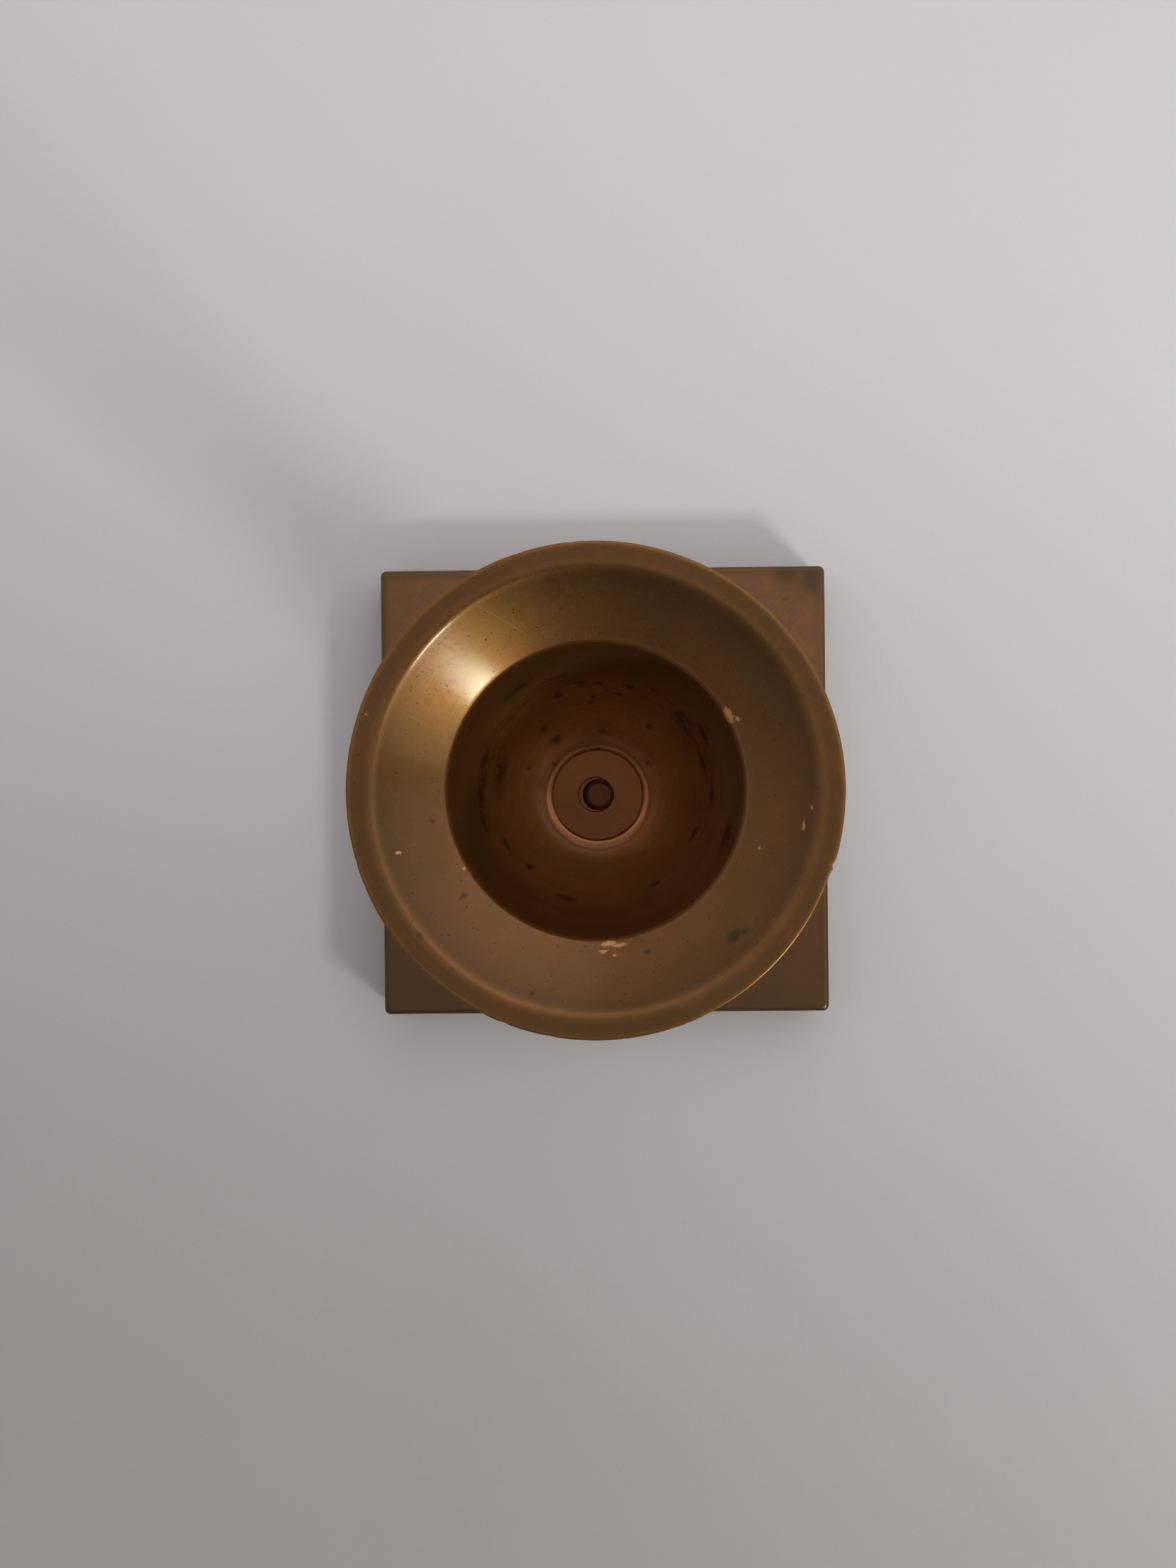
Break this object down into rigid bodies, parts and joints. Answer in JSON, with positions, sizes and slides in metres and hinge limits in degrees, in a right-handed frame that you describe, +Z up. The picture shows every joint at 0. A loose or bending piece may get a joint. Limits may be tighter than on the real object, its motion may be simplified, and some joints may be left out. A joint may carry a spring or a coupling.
{
  "type": "candlestick",
  "caption": "Small turned brass candlestick: flared drip pan over a rounded candle cup, turned stem and square foot, clamped together by a tie rod.",
  "frame": {"origin": "on the table, at the middle of the square foot", "axes": "+Z up along the stem, X and Y along the sides of the square foot"},
  "size_m": [0.06, 0.06, 0.109],
  "materials": {
    "brass": "aged and darkened, worn bright at edges",
    "steel": "dull, tarnished",
    "felt": "dark green felt"
  },
  "bodies": {
    "root": {"felt_pad": "felt", "foot_plate": "brass", "foot_bell": "brass", "lower_collar": "brass", "lower_knop": "brass", "stem_column": "brass", "upper_collar": "brass", "upper_knop": "brass", "candle_cup": "brass", "tie_rod": "steel", "flat_washer": "steel", "spring_washer": "steel", "base_nut": "steel"}
  },
  "joints": []
}
